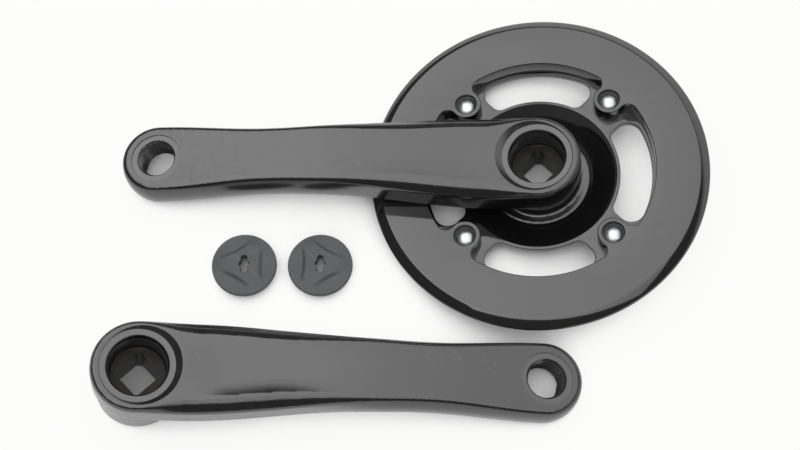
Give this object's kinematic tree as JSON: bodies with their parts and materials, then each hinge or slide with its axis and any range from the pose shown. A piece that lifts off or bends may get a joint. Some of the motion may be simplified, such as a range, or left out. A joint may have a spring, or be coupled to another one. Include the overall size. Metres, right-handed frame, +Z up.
{
  "type": "bicycle crankset",
  "caption": "Square taper crankset laid out as a kit: a drive crank with its toothed chainring and riveted chain guard, a left crank and the dust caps taken off",
  "frame": {"origin": "centre of the drive crank's square spindle socket, in the inner face of its boss", "axes": "+Z up from the surface that everything lies on, +X to the right along the longest extent, +Y away from the viewer"},
  "size_m": [0.2391, 0.1712, 0.0351],
  "materials": {
    "black_anodised": "satin black over forged alloy, bare metal in the bores",
    "plate_black": "gloss black over stamped steel",
    "guard_plastic": "moulded gloss black",
    "rivet_steel": "bright domed steel",
    "cap_plastic": "fine grained matte dark grey"
  },
  "bodies": {
    "drive_assembly": {"drive_crank_arm": "black_anodised", "chainring": "plate_black", "chain_guard": "guard_plastic", "guard_rivet_1": "rivet_steel", "guard_rivet_2": "rivet_steel", "guard_rivet_3": "rivet_steel", "guard_rivet_4": "rivet_steel"},
    "left_crank": {"left_crank_arm": "black_anodised"},
    "drive_cap": {"drive_dust_cap": "cap_plastic"},
    "left_cap": {"left_dust_cap": "cap_plastic"}
  },
  "joints": [
    {"name": "left_crank_lift", "type": "slide", "parent": "drive_assembly", "child": "left_crank", "axis": [0, 0, 1], "range_m": [0, 0.12]},
    {"name": "drive_cap_lift", "type": "slide", "parent": "drive_assembly", "child": "drive_cap", "axis": [0, 0, 1], "range_m": [0, 0.06]},
    {"name": "left_cap_lift", "type": "slide", "parent": "drive_assembly", "child": "left_cap", "axis": [0, 0, 1], "range_m": [0, 0.06]}
  ]
}
